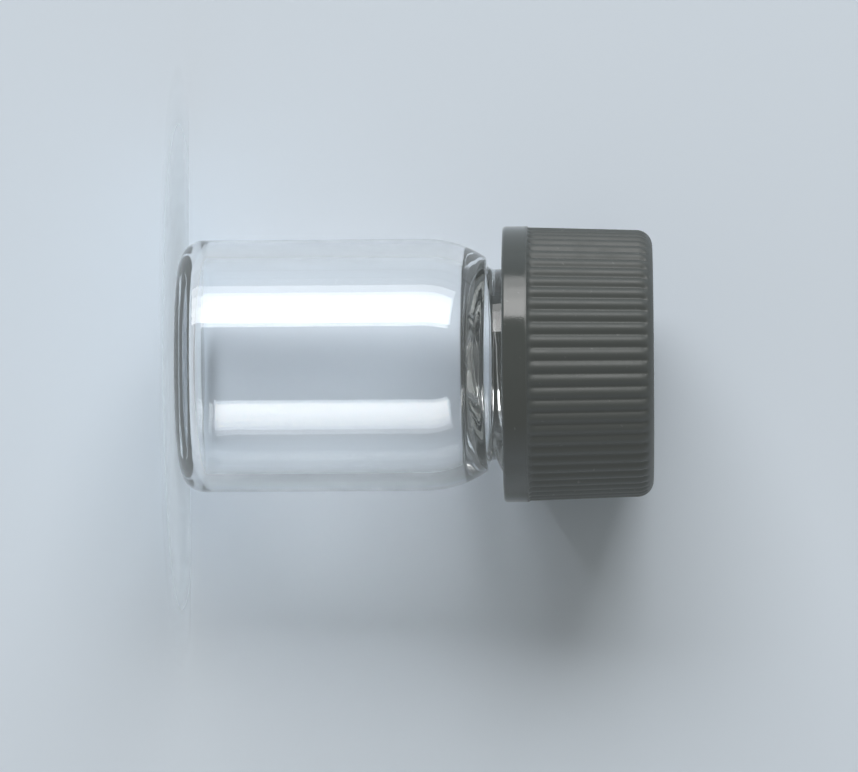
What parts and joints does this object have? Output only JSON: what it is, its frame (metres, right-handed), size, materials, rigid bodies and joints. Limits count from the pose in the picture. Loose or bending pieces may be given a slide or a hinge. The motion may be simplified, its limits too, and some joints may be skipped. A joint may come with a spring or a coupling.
{
  "type": "glass sample vial",
  "caption": "Small clear glass sample vial with a rounded shoulder and a threaded neck, closed by a dark ribbed screw cap with a foam liner; stands on its base.",
  "frame": {"origin": "centre of the base, on the plane the vial stands on", "axes": "+Z along the axis from the base to the cap; +X and +Y are square to it"},
  "size_m": [0.0164, 0.0164, 0.028],
  "materials": {
    "glass": "clear, smooth",
    "liner": "fine closed-cell foam",
    "cap": "moulded, satin"
  },
  "bodies": {
    "vial": {"glass_vial": "glass"},
    "liner": {"cap_liner": "liner"},
    "cap": {"screw_cap": "cap"}
  },
  "joints": [
    {"name": "liner_lift", "type": "slide", "parent": "vial", "child": "liner", "axis": [0, 0, 1], "range_m": [0, 0.00847]},
    {"name": "cap_turn", "type": "hinge", "parent": "liner", "child": "cap", "pos_m": [0, 0, 0.0235], "axis": [0, 0, 1], "range_deg": [0, 1440.5]}
  ],
  "couplings": [
    {"joint": "cap_turn", "follows": "liner_lift", "rad_per_m": 2968}
  ]
}
